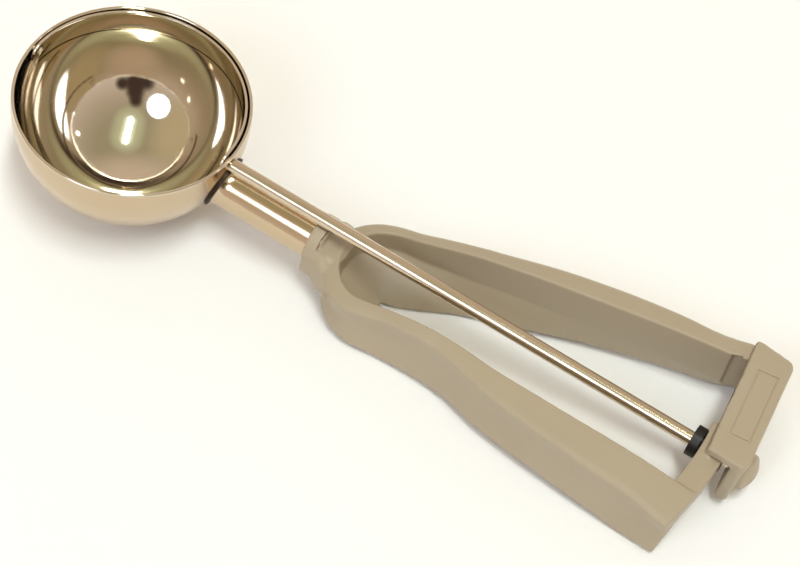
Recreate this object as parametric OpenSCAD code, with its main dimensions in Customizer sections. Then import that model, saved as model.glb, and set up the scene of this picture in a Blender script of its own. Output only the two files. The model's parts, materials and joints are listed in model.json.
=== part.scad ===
// Squeeze scoop: a steel bowl with a sweeping blade, a plastic squeeze handle and a rack and pinion.
// The tool frame has its origin at the centre of the bowl, X along the rod and Z out of the bowl's mouth.

/* [Bowl] */
// Outer radius of the half-sphere bowl
bowl_r = 35; // [33:0.5:37]
// Wall thickness of the bowl
bowl_wall = 1.0; // [0.8:0.1:1.2]
// Height of the straight band above the centre of the sphere
band_h = 3.7; // [3.5:0.1:5]
// Thickness of the foot plate between the bowl and the shank
saddle_t = 0.8; // [0.5:0.1:1.2]
// Radius of the foot plate around the shank
saddle_r = 8.4; // [8:0.1:9]

/* [Blade and its pin] */
// Gap between the blade and the inside of the bowl
blade_gap = 0.4; // [0.2:0.1:0.8]
// Thickness of the blade
blade_t = 0.8; // [0.6:0.1:1]
// Width of the blade
blade_w = 8; // [6:0.5:9]
// Angle of the resting blade below the rod's level, in degrees
blade_rest = 1.5; // [1:0.5:4]
// Radius of the front pivot pin
pin_r = 1.5; // [1.2:0.1:1.8]
// Radius of the head of the pivot pin
pin_head_r = 2.3; // [2.1:0.1:3]
// Thickness of the head of the pivot pin
pin_head_t = 0.6; // [0.5:0.1:1]

/* [Rod and shank] */
// Radius of the rod
rod_r = 2.15; // [1.9:0.05:2.3]
// Distance from the bowl's centre to the rear end of the rod
rod_end = 206.4; // [205.5:0.1:206.6]
// Outer radius of the shank tube
shank_r = 7; // [6.5:0.1:7.3]
// Wall thickness of the shank tube
shank_wall = 0.8; // [0.6:0.1:1.2]
// Depth of the shank's axis below the rod
shank_drop = 9.5; // [9.4:0.1:10]
// Length of the handle's plug inside the shank
plug_l = 22; // [15:1:28]
// Running clearance of the rod and the pin, all round
run_gap = 0.06; // [0.03:0.01:0.1]

/* [Pinion and rack] */
// Number of teeth on the pinion
teeth = 10; // [10:1:10]
// Module of the teeth
tooth_module = 0.75; // [0.72:0.01:0.78]
// Length of the toothed part of the pinion
gear_l = 7.8; // [6:0.1:8]
// Radius of the flange disc of the pinion
flange_r = 4.6; // [4.6:0.1:4.8]
// Thickness of the flange disc
flange_t = 2.7; // [2:0.1:2.8]
// Distance from the flange's rear face to the centre of the yoke's plate
flange_back = 8.3; // [8.2:0.1:8.7]
// Number of teeth on the rack
rack_teeth = 7; // [6:1:7]
// Clearance between tooth tips and the opposite roots
tip_gap = 0.25; // [0.2:0.05:0.3]

/* [Squeeze hinge] */
// Place of the bend's pivot along the rod
hinge_x = 94; // [93:0.5:96]
// Place of the bend's pivot beside the rod, on the near side
hinge_y = -8; // [-9:0.5:-7]
// Radius of the knuckle at the pivot
knuckle_r = 2.5; // [2:0.1:3]
// Gap between the knuckle and its socket
knuckle_gap = 0.3; // [0.25:0.05:0.4]
// Travel of the squeeze, in degrees
squeeze = 6.6; // [5:0.1:6.6]

/* [Handle arms] */
// Angle between the rod and the table, in degrees
tilt = 7.15; // [7.15:0.01:7.15]
// Place of the centre of the U-bend
bend_x = 87; // [86:0.5:88]
// Inner radius of the U-bend
bend_r = 13; // [12.5:0.1:13.2]
// Depth of the finger groove along each arm's outer face
groove = 1.7; // [1:0.1:2]
// Fall of each arm's top towards its outer edge
crown = 1.5; // [1:0.1:2]
// Radius on the arms' edges
edge_r = 0.9; // [0.5:0.1:1.2]

/* [Collar] */
// Front face of the collar
collar_x = 65.2; // [64:0.1:66]
// Half the width of the collar
collar_w = 8; // [7.8:0.1:8.5]
// Level of the collar's underside below the rod
collar_low = 20; // [19.5:0.1:20.5]
// Radius of the collar's upper edges
collar_round = 3; // [1:0.5:3.5]
// Radius along the collar's lower edges
collar_edge = 4.5; // [3:0.1:5]
// Half the width where the collar has flared out into the bend
flare_w = 9.5; // [9:0.1:10]
// Distance from the collar's front to the end of the flare
flare_l = 6.5; // [6:0.1:8]
// Level of the flat top of the collar below the rod
collar_top = 6.2; // [5.5:0.1:6.5]
// Seat depth of the shank in the collar
seat_l = 3.8; // [3:0.1:5]
// Length of the collar, up to inside the bend
collar_l = 9; // [8:0.1:10]
// Clearance of the groove that the foot plate and the ring leave under the rod
rod_groove = 0.3; // [0.2:0.05:0.3]
// Thickness of the thin ring over the shank
ring_t = 0.8; // [0.6:0.1:1]

/* [Rear yoke] */
// Turn of the yoke about the upright, in degrees
yoke_turn = 6.5; // [6:0.1:7]
// Centre of the yoke's plate along the rod
yoke_x = 199.2; // [199:0.1:199.4]
// Width of the yoke's plate, front to rear
yoke_w = 12.3; // [12:0.1:12.4]
// Thickness of the top plate
plate_t = 3; // [2.5:0.1:3.2]
// Gap between the top plate and the crossbar under it
slide_gap = 0.4; // [0.3:0.05:0.5]
// Thickness of the yoke's back wall
back_t = 3.8; // [3.4:0.1:4]
// Step from the plate's rear edge in to the back wall
back_step = 0.6; // [0.3:0.1:0.8]
// Lean of the back wall towards the front at its foot, in degrees
back_lean = 4.5; // [0:0.5:5]
// Depth of the back wall below the rod
back_drop = 6.4; // [6:0.1:7]
// Reach of the plate on the near side of the rod, at its front corner
yoke_near = 7.6; // [7:0.1:7.8]
// How much more the plate reaches at its rear corner on the near side
near_skew = 1.3; // [1:0.1:1.5]
// Reach of the plate on the far side of the rod, at its front corner
yoke_far = 33; // [32:0.1:33.4]
// How much less the plate reaches at its rear corner
yoke_skew = 2.6; // [2:0.1:3]
// Thickness of the post between the plate and the far foot
post_t = 3; // [2.5:0.1:3.5]
// Chamfer along the foot of the recess's outer wall
recess_cut = 2.2; // [0.5:0.1:2.5]
// Length of the recess in the far arm ahead of the yoke
recess_l = 4.5; // [3:0.1:5]
// Radius of the boss behind the rod's end
boss_r = 5.3; // [5.2:0.1:6]
// Radius of the boss's domed end
dome_r = 8; // [7:0.5:12]
// Length of the boss behind the centre of the yoke's plate
boss_l = 9.2; // [9:0.1:10.8]
// Radius of the yoke's outer corners
yoke_corner = 2; // [1:0.5:2.5]
// Length of the bare panel sunk in the plate
panel_l = 23.8; // [20:0.1:24]
// Width of the bare panel
panel_w = 6.2; // [5:0.1:7]
// Place of the panel's near end beside the rod
panel_from = -0.4; // [-1:0.1:0.5]
// Offset of the panel to the rear of the plate's middle
panel_shift = 0.5; // [0:0.1:0.8]
// Width of the line around the panel
panel_line = 0.5; // [0.4:0.1:0.6]
// Depth of the line around the panel
panel_depth = 0.3; // [0.2:0.1:0.5]

/* [Crossbar] */
// Gap between the pinion's flange and the crossbar's front edge
bar_clear = 1; // [0.9:0.1:1.3]
// Width of the crossbar, front to rear
bar_w = 7.1; // [6.1:0.1:7.3]
// How far ahead of the crossbar's rear edge the near arm's rear face ends
arm_short = 2.5; // [2:0.1:3.5]
// Lean of the near arm's rear face, in degrees
arm_lean = 8; // [5:0.5:9]
// Level of the crossbar's top above the rod
bar_top = 9.1; // [9:0.1:9.2]
// Place of the crossbar's tip beside the rod
bar_tip = 2.8; // [1.5:0.1:3]
// Place of the crossbar's root beside the rod, inside the near arm
bar_root = 26; // [24:1:27]

/* [Hidden] */
$fn = 96;
BIG = 400;
STEEL = "gainsboro";
PLASTIC = "#a89f8c";

inner_r = bowl_r - bowl_wall;
blade_out = inner_r - blade_gap;
blade_in = blade_out - blade_t;
rod_front = blade_in - 0.4;
shank_in = shank_r - shank_wall;
seat_x = collar_x + seat_l;

pitch_r = tooth_module * teeth / 2;
pitch = PI * tooth_module;
gear_tip = pitch_r + tooth_module;
rack_tip = pitch_r - 0.75 * tooth_module;
rack_root = gear_tip + tip_gap;
gear_root = rack_tip - tip_gap;
flange_x = yoke_x - flange_back;
boss_end = yoke_x + boss_l;
rack_x = flange_x + gear_l / 2;
rack_arm = rack_x - hinge_x;
bar_bottom = rack_root;
bar_front = flange_x + bar_clear - hinge_x;
bar_rear = bar_front + bar_w;
arm_reach = bar_rear - arm_short;

plate_z = bar_top + slide_gap;
post_v = yoke_far - yoke_skew - post_t;
recess_foot = ((yoke_x - yoke_w / 2) * sin(tilt) - bowl_r) / cos(tilt);
arm_end = hinge_x + bar_rear + 1;
loft_end = yoke_x - 8.8;
bend_mid = 4;
split_gap = knuckle_gap;

// A smooth curve through points [x, value]; beyond the ends it keeps the end value.
function slope(p, i) =
    (i <= 0 || i >= len(p) - 1) ? 0 : (p[i + 1][1] - p[i - 1][1]) / (p[i + 1][0] - p[i - 1][0]);
function span(p, x, i = 0) = (i >= len(p) - 2 || x < p[i + 1][0]) ? i : span(p, x, i + 1);
function blend(p, i, w, t) =
    (2 * t^3 - 3 * t^2 + 1) * p[i][1] + (t^3 - 2 * t^2 + t) * w * slope(p, i)
    + (3 * t^2 - 2 * t^3) * p[i + 1][1] + (t^3 - t^2) * w * slope(p, i + 1);
function curve(p, x) =
    let (i = span(p, x), w = p[i + 1][0] - p[i][0], t = min(1, max(0, (x - p[i][0]) / w)))
    blend(p, i, w, t);

// Sizes along the arms, each as [distance from the bowl's centre, value]: heights of the top, the foot
// and the fold inside, the inner edge of each arm, the reach of the web below the fold, and thicknesses
TOP = [[68, 19.4], [84, 18.8], [98, 21.3], [112, 23.2], [160, 23.0], [180, 22.2], [200, 20.3]];
FOOT = [[60, 6.2], [78, 2.4], [90, 0.6], [106, 0.7], [130, 1.8], [150, 2.2],
        [170, 1.4], [182, 0], [200, 0]];
FOLD = [[74, 11.5], [110, 11.2], [128, 10.8], [150, 10.2], [170, 9.2], [185, 8.2]];
FAR_IN = [[87, 0], [103, 1.5], [128, 4.9], [158, 8.5], [183, 11.4], [190, 12.4]];
NEAR_IN = [[87, 0], [104, 0.5], [120, 1.7], [132, 3.5], [155, 5.3], [190, 7.4], [200, 7.9]];
WEB = [[74, 12], [86, 12.6], [95, 10], [107, 6.1], [125, 3.7], [142, 1],
       [163, -1.5], [179, -3.4], [188, -5.4]];
FAR_T = [[68, 5.8], [84, 5], [96, 5.5], [112, 5.8], [132, 7.5], [150, 8.2],
         [166, 7.9], [180, 7], [190, 8.1]];
NEAR_T = [[68, 5.8], [84, 5.2], [96, 4.3], [114, 4.7], [131, 7.5], [150, 9.8],
          [170, 11.3], [190, 12.1], [200, 12.1]];
THUMB_LIP = [[180, 0], [190, 1], [200, 2.1]];

// One cross-section of an arm as [outward from the inner top edge, height], corners cut by edge_r.
// In the bend, turn is the cosine of the angle from the front, which moves the web's foot to the rear.
function section(x, t, lip = 0, turn = 0) =
    let (top = curve(TOP, x), low = max(0, curve(FOOT, x)), web = curve(WEB, x), mid = (top + low) / 2,
         web_low = max(0, curve(FOOT, x + (web + bend_mid) * turn)),
         e = edge_r, fold = min(curve(FOLD, x), top - 1.5 * e))
    [[0, top - e / 2], [e / 2, top], [t + lip - 2 * e, top - crown * 0.6],
     [t + lip - 0.4 * e, top - crown - 0.6 * e],
     [t - groove, mid + 1], [t - groove, mid - 1], [t - 0.3 * e, low + 1.5 * e], [t - 1.5 * e, low],
     [min(t - 2 * e, e / 2 - web), web_low], [min(t - 1.5 * e, -web), web_low + e / 2], [0, fold]];

// Plan place of a section point: along the straight part by x, round the bend by angle
function on_arm(x, inner, side, p) = [x, side * (bend_r + curve(inner, x) + p[0]), p[1]];
function on_bend(ang, p) =
    [bend_x - (bend_r + p[0]) * cos(ang), (bend_r + p[0]) * sin(ang), p[1]];

// The row's origin is below the middle of the outline, so the pieces move back by this amount.
front_end = -(bowl_r + pin_head_t) * cos(tilt) - pin_head_r * sin(tilt);
rear_end = (boss_end - dome_r) * cos(tilt) + dome_r;
shift = [-(front_end + rear_end) / 2, 0, 0];

// Skins rings of points into one solid with flat ends.
module skin(rings) {
    n = len(rings[0]);
    m = len(rings);
    walls = [for (i = [0:m - 2], j = [0:n - 1])
        let (k = (j + 1) % n)
        each [[i * n + j, i * n + k, (i + 1) * n + k], [i * n + j, (i + 1) * n + k, (i + 1) * n + j]]];
    caps = [[for (j = [n - 1:-1:0]) j], [for (j = [0:n - 1]) (m - 1) * n + j]];
    polyhedron([for (r = rings) each r], concat(walls, caps), convexity = 8);
}

// Moves from the tool frame, tilted on the table, to the row's frame.
module on_table() {
    translate(shift) translate([0, 0, bowl_r]) rotate([0, tilt, 0]) children();
}

module along_x(x) {
    translate([x, 0, 0]) rotate([0, 90, 0]) children();
}

module at_hinge() {
    translate([hinge_x, hinge_y, 0]) children();
}

module in_yoke() {
    translate([yoke_x, 0, 0]) rotate([0, 0, yoke_turn]) children();
}

module bowl_profile() {
    intersection() {
        difference() {
            circle(bowl_r, $fn = 180);
            circle(inner_r, $fn = 180);
        }
        translate([0, -BIG]) square([BIG, BIG]);
    }
    translate([inner_r, 0]) square([bowl_wall, band_h - bowl_wall / 2]);
    translate([inner_r + bowl_wall / 2, band_h - bowl_wall / 2]) circle(bowl_wall / 2, $fn = 24);
}

module bowl() {
    color(STEEL) on_table() difference() {
        rotate_extrude($fn = 180) bowl_profile();
        along_x(0) cylinder(r = rod_r + run_gap, h = BIG);
        along_x(-BIG) cylinder(r = pin_r, h = BIG);
    }
}

// Thin plate that follows the bowl's outside and carries the shank
module bowl_saddle() {
    color("dimgray") on_table() difference() {
        intersection() {
            sphere(bowl_r + saddle_t, $fn = 180);
            translate([0, 0, -shank_drop]) along_x(0) cylinder(r = saddle_r, h = BIG);
        }
        sphere(bowl_r, $fn = 180);
        along_x(0) cylinder(r = rod_r + rod_groove, h = BIG);
    }
}

module shank_tube() {
    color(STEEL) on_table() difference() {
        translate([0, 0, -shank_drop]) along_x(0) difference() {
            cylinder(r = shank_r, h = seat_x);
            translate([0, 0, -1]) cylinder(r = shank_in, h = seat_x + 2);
        }
        sphere(bowl_r + saddle_t, $fn = 180);
    }
}

module pivot_pin() {
    color(STEEL) on_table() difference() {
        union() {
            along_x(-bowl_r - pin_head_t) cylinder(r = pin_r, h = pin_head_t + bowl_r - blade_in + 0.4);
            along_x(-bowl_r - pin_head_t) cylinder(r = pin_head_r, h = pin_head_t + bowl_wall / 2);
        }
        difference() {
            along_x(-bowl_r - 0.1) cylinder(r = pin_head_r + 1, h = bowl_wall + 1);
            along_x(-bowl_r - 1) cylinder(r = pin_r, h = bowl_wall + 3);
            along_x(-BIG) cylinder(r = BIG, h = BIG - bowl_r);
        }
    }
}

// Half ring on a sphere just inside the bowl, with a round eye at each end
module scraper_blade() {
    color(STEEL) on_table() rotate([-blade_rest, 0, 0]) difference() {
        intersection() {
            difference() {
                sphere(blade_out, $fn = 180);
                sphere(blade_in, $fn = 180);
            }
            union() {
                translate([-BIG / 2, 0, -blade_w / 2]) cube([BIG, BIG, blade_w]);
                along_x(-BIG / 2) cylinder(d = blade_w, h = BIG);
            }
        }
        along_x(0) cylinder(r = rod_r, h = BIG);
        along_x(-BIG) cylinder(r = pin_r + run_gap, h = BIG);
    }
}

module rod() {
    color(STEEL) on_table() along_x(rod_front) cylinder(r = rod_r, h = rod_end - rod_front);
}

// Tooth outline from root to tip, symmetric about the Y axis
module tooth(root_y, tip_y, root_w, tip_w) {
    polygon([[-root_w / 2, root_y], [-tip_w / 2, tip_y], [tip_w / 2, tip_y], [root_w / 2, root_y]]);
}

module pinion() {
    color("#1d1b19") on_table() difference() {
        union() {
            along_x(flange_x - flange_t) cylinder(r = flange_r, h = flange_t);
            along_x(flange_x) {
                cylinder(r = gear_root, h = gear_l);
                for (k = [0:teeth - 1])
                    rotate([0, 0, k * 360 / teeth])
                        linear_extrude(gear_l)
                            tooth(gear_root - 0.4, gear_tip - tip_gap, 0.48 * pitch, 0.3 * pitch);
            }
        }
        along_x(0) cylinder(r = rod_r, h = BIG);
    }
}

// Far arm and bend: from past the split on the near side, round the front, to the yoke
module far_loft() {
    near = [for (x = [hinge_x + 6:-4:bend_x + 3])
        [for (p = section(x, curve(NEAR_T, x))) on_arm(x, NEAR_IN, -1, p)]];
    bend = [for (a = [-90:10:90])
        let (x = bend_x - (bend_r + bend_mid) * cos(a))
        [for (p = section(x, curve(FAR_T, x), 0, cos(a))) on_bend(a, p)]];
    far = [for (x = concat([for (k = [bend_x + 5:4:loft_end - 2]) k], loft_end))
        [for (p = section(x, curve(FAR_T, x))) on_arm(x, FAR_IN, 1, p)]];
    skin(concat(near, bend, far));
}

module near_loft() {
    skin([for (x = [arm_end:-4:bend_x])
        [for (p = section(x, curve(NEAR_T, x), curve(THUMB_LIP, x))) on_arm(x, NEAR_IN, -1, p)]]);
}

module ahead_of_hinge(gap) {
    translate([gap, -BIG / 2, -BIG / 2]) cube([BIG, BIG, BIG]);
}

module knuckle(r) {
    translate([0, 0, -BIG / 2]) cylinder(r = r, h = BIG);
}

module lever_arm() {
    color(PLASTIC) union() {
        intersection() {
            translate(shift) near_loft();
            on_table() at_hinge() union() {
                intersection() {
                    ahead_of_hinge(split_gap / 2);
                    rotate([0, 0, -squeeze - 1]) ahead_of_hinge(split_gap / 2);
                    translate([0, 0, -BIG / 2]) cylinder(r = bar_rear, h = BIG, $fn = 360);
                    translate([arm_reach, 0, 0]) rotate([0, arm_lean, 0])
                        translate([-BIG, -BIG / 2, -BIG / 2]) cube([BIG, BIG, BIG]);
                }
                knuckle(knuckle_r);
            }
        }
        on_table() crossbar();
        on_table() rack();
    }
}

module crossbar() {
    at_hinge() intersection() {
        translate([0, 0, bar_bottom]) difference() {
            cylinder(r = bar_rear, h = bar_top - bar_bottom, $fn = 360);
            translate([0, 0, -1]) cylinder(r = bar_front, h = BIG, $fn = 360);
        }
        translate([0, -bar_root - hinge_y, -BIG / 2]) cube([BIG, bar_root + bar_tip, BIG]);
    }
}

// Each tooth lies along the rod when the squeeze brings it over the pinion.
module rack() {
    for (k = [0:rack_teeth - 1])
        at_hinge() rotate([0, 0, -k * pitch / rack_arm * 180 / PI])
            translate([bar_front, -hinge_y, 0]) rotate([90, 0, 90])
                linear_extrude(gear_l - 2)
                    tooth(bar_bottom + 0.3, rack_tip, 0.6 * pitch, 0.2 * pitch);
}

// Plan of the yoke with two rounded outer corners on the far side
module yoke_plan() {
    w = yoke_w / 2;
    c = yoke_corner;
    polygon([[-w, -yoke_near], [w - c, -yoke_near - near_skew], [w - 0.4 * c, -yoke_near - 0.6 * near_skew],
             [w, -yoke_near + c], [w, yoke_far - yoke_skew - c],
             [w - 0.3 * c, yoke_far - yoke_skew - 0.3 * c], [w - c, yoke_far - yoke_skew + 0.2],
             [c - w, yoke_far - 0.3 * c], [0.2 * c - w, yoke_far - 0.3 * c], [-w, yoke_far - 0.5 * c]]);
}

// Top plate, back wall with its rounded foot, and the post on the far side
module yoke() {
    wall = yoke_w / 2 - back_step - back_t;
    wall_h = plate_z + back_drop - back_t / 2;
    in_yoke() {
        translate([0, 0, plate_z]) linear_extrude(plate_t) yoke_plan();
        intersection() {
            translate([0, 0, -BIG / 2]) linear_extrude(BIG / 2 + plate_z + 1) yoke_plan();
            union() {
                translate([wall, 0, plate_z]) rotate([0, back_lean, 0]) {
                    translate([0, -BIG / 2, -wall_h]) cube([back_t, BIG, BIG]);
                    translate([back_t / 2, -BIG / 2, -wall_h]) rotate([-90, 0, 0])
                        cylinder(d = back_t, h = BIG);
                }
                translate([-BIG / 2, post_v, -BIG / 2]) cube([BIG, BIG, BIG]);
            }
        }
    }
}

// Round housing for the rod's rear end, with a domed cap
module boss() {
    base = yoke_x + yoke_w / 2 - back_step - back_t / 2;
    along_x(base) rotate_extrude() intersection() {
        translate([0, boss_end - dome_r - base]) circle(dome_r);
        square([boss_r, boss_end - base]);
    }
}

// Hollow under the plate, which also thins the far arm just ahead of the yoke
module yoke_hollow() {
    front = -recess_l - yoke_w / 2;
    depth = recess_l + yoke_w - back_step - back_t;
    side = recess_cut * sqrt(2);
    in_yoke() {
        translate([front, post_v - BIG, -BIG / 2]) cube([depth, BIG, BIG / 2 + plate_z]);
        translate([front, post_v, recess_foot]) rotate([45, 0, 0])
            translate([0, -side / 2, -side / 2]) cube([depth, side, side]);
    }
}

module panel_groove() {
    low = plate_z + plate_t - panel_depth;
    in_yoke() translate([panel_shift - panel_w / 2, panel_from, low]) difference() {
        cube([panel_w, panel_l, BIG]);
        translate([panel_line, panel_line, -1])
            cube([panel_w - 2 * panel_line, panel_l - 2 * panel_line, BIG]);
    }
}

module handle_frame() {
    color(PLASTIC) difference() {
        union() {
            difference() {
                translate(shift) far_loft();
                on_table() at_hinge() behind_split();
                on_table() at_hinge() knuckle(knuckle_r + knuckle_gap);
                on_table() yoke_hollow();
            }
            intersection() {
                on_table() yoke();
                translate([-BIG / 2, -BIG / 2, 0]) cube([BIG, BIG, BIG]);
            }
            on_table() boss();
            on_table() collar();
        }
        on_table() along_x(yoke_x) cylinder(r = rod_r + run_gap, h = rod_end + 0.4 - yoke_x);
        on_table() panel_groove();
    }
}

// Everything behind the split on the near side of the rod
module behind_split() {
    translate([-split_gap / 2, -BIG, -BIG / 2]) cube([BIG, BIG - hinge_y, BIG]);
}

// Cross-section of the collar: flat on top, with rounded edges above and below
module collar_section(w) {
    low = collar_edge - collar_low;
    high = -collar_top - collar_round;
    for (side = [-1, 1]) {
        translate([low, side * (w - collar_edge)]) circle(collar_edge);
        translate([high, side * (w - collar_round)]) circle(collar_round);
    }
    translate([-collar_low, -w + collar_edge]) square([collar_edge, 2 * (w - collar_edge)]);
    translate([low, -w]) square([high - low, 2 * w]);
    translate([high, -w + collar_round]) square([collar_round, 2 * (w - collar_round)]);
}

// Collar around the shank's end, with a thin ring over it, a flare into the bend and a plug inside
module collar() {
    difference() {
        union() {
            along_x(collar_x) mirror([1, 0, 0]) linear_extrude(collar_l) collar_section(collar_w);
            hull() {
                along_x(collar_x + 2.5) mirror([1, 0, 0])
                    linear_extrude(0.5) collar_section(collar_w, $fn = 32);
                along_x(collar_x + flare_l) mirror([1, 0, 0])
                    linear_extrude(0.5) collar_section(flare_w, $fn = 32);
            }
            translate([0, 0, -shank_drop]) along_x(collar_x)
                cylinder(r = shank_r + ring_t, h = seat_l);
        }
        translate([0, 0, -shank_drop]) along_x(seat_x - BIG) cylinder(r = shank_r, h = BIG);
        along_x(0) cylinder(r = rod_r + rod_groove, h = BIG);
    }
    translate([0, 0, -shank_drop]) along_x(seat_x - plug_l) cylinder(r = shank_in, h = plug_l + 0.5);
}

bowl();
bowl_saddle();
shank_tube();
pivot_pin();
handle_frame();
lever_arm();
rod();
scraper_blade();
pinion();
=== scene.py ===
import json
import math

import bmesh
import bpy
from mathutils import Matrix, Quaternion, Vector

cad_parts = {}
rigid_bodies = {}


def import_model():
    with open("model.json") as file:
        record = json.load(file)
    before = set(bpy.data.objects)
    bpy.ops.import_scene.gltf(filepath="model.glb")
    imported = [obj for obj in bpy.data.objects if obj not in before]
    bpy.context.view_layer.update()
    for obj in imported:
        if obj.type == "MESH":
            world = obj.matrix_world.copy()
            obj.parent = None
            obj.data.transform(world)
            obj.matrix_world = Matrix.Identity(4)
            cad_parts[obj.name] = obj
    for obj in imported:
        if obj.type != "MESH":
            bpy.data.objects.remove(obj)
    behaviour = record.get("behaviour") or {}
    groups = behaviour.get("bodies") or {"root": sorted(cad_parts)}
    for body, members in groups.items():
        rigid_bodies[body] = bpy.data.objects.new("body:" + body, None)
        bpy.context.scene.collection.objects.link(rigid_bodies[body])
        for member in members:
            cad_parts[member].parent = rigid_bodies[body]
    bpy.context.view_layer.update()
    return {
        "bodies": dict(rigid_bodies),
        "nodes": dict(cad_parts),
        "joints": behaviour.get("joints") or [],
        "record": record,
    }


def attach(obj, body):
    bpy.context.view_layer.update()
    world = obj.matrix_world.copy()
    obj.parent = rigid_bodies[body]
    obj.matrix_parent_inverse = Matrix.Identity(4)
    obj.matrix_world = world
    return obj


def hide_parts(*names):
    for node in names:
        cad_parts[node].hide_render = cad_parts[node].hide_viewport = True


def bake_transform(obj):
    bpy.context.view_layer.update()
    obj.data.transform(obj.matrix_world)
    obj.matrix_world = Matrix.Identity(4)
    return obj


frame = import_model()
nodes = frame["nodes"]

scene = bpy.context.scene

# ---------------------------------------------------------------------------------------------------------
# Camera. A long lens from the handle's near side, high above the table, so that the whole scoop lies across
# the view and the bowl shows its inside.
cam_data = bpy.data.cameras.new("camera")
cam_data.lens = 112.5
cam_data.sensor_width = 36.0
cam_data.clip_start = 0.01
cam = bpy.data.objects.new("camera", cam_data)
cam.location = (0.219904, -0.386682, 0.577628)
cam.rotation_mode = "QUATERNION"
cam.rotation_quaternion = Quaternion((0.908179, 0.31873, 0.072617, 0.261435))
scene.collection.objects.link(cam)
scene.camera = cam

# ---------------------------------------------------------------------------------------------------------
# Bowl. A deep-drawn cup of stainless steel, 70 mm across and 1 mm thick, with a short straight band under
# its rounded rim. It is spun against a polishing wheel, so it mirrors the room, broken by faint rings.
TILT = math.radians(7.15)  # of the rod and bowl, as the scoop rests on the table
BOWL_R = 35.0
BOWL_WALL = 1.0
BAND_TOP = 3.7
ROD_R = 2.15
PIN_R = 1.5
RUN_GAP = 0.06
STEEL = "#e3dacb"
STEEL_DULL = "#dad0be"
# the two satin tints are painted warmer and darker than the steel: a painted reflection of the warm room
SATIN_PAINTED_REFLECTION = "#d0bda1"
SATIN_DULL_PAINTED_REFLECTION = "#c8b395"
RINGS_PER_MM = 3.3
HAZE_PER_MM = 0.09
SATIN_HAZE_PER_MM = 0.06
MM = 0.001
BOWL_X = -0.08561609515  # of the bowl's centre, in m, with the whole scoop centred on the origin
BORE_FROM, BORE_TO = 20.0, 45.0  # a bore starts well inside the bowl's wall and ends well outside it

# From the tool's frame (mm, x along the rod from the bowl's centre, z out of the bowl) to the row's, which
# all pieces share, in m. The bowl stands on the table, so its centre is its radius up.
to_row = (
    Matrix.Translation((BOWL_X, 0, BOWL_R * MM))
    @ Matrix.Rotation(TILT, 4, "Y")
    @ Matrix.Scale(MM, 4)
)
to_tool = to_row.inverted()


def linear(hex_colour):
    """A colour given as sRGB hex, in the linear values that the shaders take."""
    parts = [int(hex_colour[i : i + 2], 16) / 255 for i in (1, 3, 5)]
    return [c / 12.92 if c <= 0.04045 else ((c + 0.055) / 1.055) ** 2.4 for c in parts] + [1.0]


def add(tree, kind, inputs=None, **settings):
    """Adds one node. Inputs maps a socket's name or number to a value or to the socket that feeds it;
    settings are the node's own properties."""
    node = tree.nodes.new(kind)
    for name, value in settings.items():
        setattr(node, name, value)
    for key, value in (inputs or {}).items():
        if isinstance(value, bpy.types.NodeSocket):
            tree.links.new(value, node.inputs[key])
        else:
            node.inputs[key].default_value = value
    return node


def begin_material(name):
    """An empty node material: its tree and its Principled shader, joined to the output."""
    material = bpy.data.materials.new(name)
    material.use_nodes = True
    tree = material.node_tree
    tree.nodes.clear()
    shader = add(tree, "ShaderNodeBsdfPrincipled")
    add(tree, "ShaderNodeOutputMaterial", {"Surface": shader.outputs[0]})
    return material, tree, shader


def put(name, verts, faces, material, body, replaced=()):
    """Makes one piece from points in the tool's frame and lets it ride on its CAD body."""
    mesh = bpy.data.meshes.new(name)
    mesh.from_pydata([to_row @ Vector(v) for v in verts], [], faces)
    mesh.validate()
    for polygon in mesh.polygons:
        polygon.use_smooth = True
    mesh.materials.append(material)
    piece = bpy.data.objects.new(name, mesh)
    scene.collection.objects.link(piece)
    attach(piece, body)
    if replaced:
        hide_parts(*replaced)
    return piece


def lathe(profile, turns, axis="Z", at=0.0):
    """Points and faces of a closed profile of (radius, height) turned about Z, or about X from x = at."""
    verts = []
    for k in range(turns):
        angle = 2 * math.pi * k / turns
        c, s = math.cos(angle), math.sin(angle)
        for r, h in profile:
            verts.append((r * c, r * s, h) if axis == "Z" else (at + h, r * c, r * s))
    n = len(profile)
    faces = []
    for k in range(turns):
        a, b = k * n, (k + 1) % turns * n
        for i in range(n):
            j = (i + 1) % n
            faces.append((a + i, b + i, b + j, a + j))
    return verts, faces


def arc(cx, cy, r, start, end, steps):
    """Points on a circle, by degrees."""
    angles = [math.radians(start + (end - start) * i / steps) for i in range(steps + 1)]
    return [(cx + r * math.cos(a), cy + r * math.sin(a)) for a in angles]


def face_outward(mesh):
    """Turns the faces of a closed mesh outward."""
    bm = bmesh.new()
    bm.from_mesh(mesh)
    bmesh.ops.recalc_face_normals(bm, faces=bm.faces)
    bm.to_mesh(mesh)
    bm.free()


def apply_modifiers(piece):
    """Turns a piece's modifiers into its own mesh, shaded smooth."""
    dg = bpy.context.evaluated_depsgraph_get()
    dg.update()
    made = bpy.data.meshes.new_from_object(piece.evaluated_get(dg))
    piece.modifiers.clear()
    piece.data = made
    for polygon in made.polygons:
        polygon.use_smooth = True


def cut_out(piece, mesh):
    """Cuts the shape of a closed mesh out of a piece."""
    bit = bpy.data.objects.new("bit", mesh)
    scene.collection.objects.link(bit)
    cut = piece.modifiers.new("cut", "BOOLEAN")
    cut.object = bit
    cut.solver = "EXACT"
    apply_modifiers(piece)
    bpy.data.objects.remove(bit)


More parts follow.
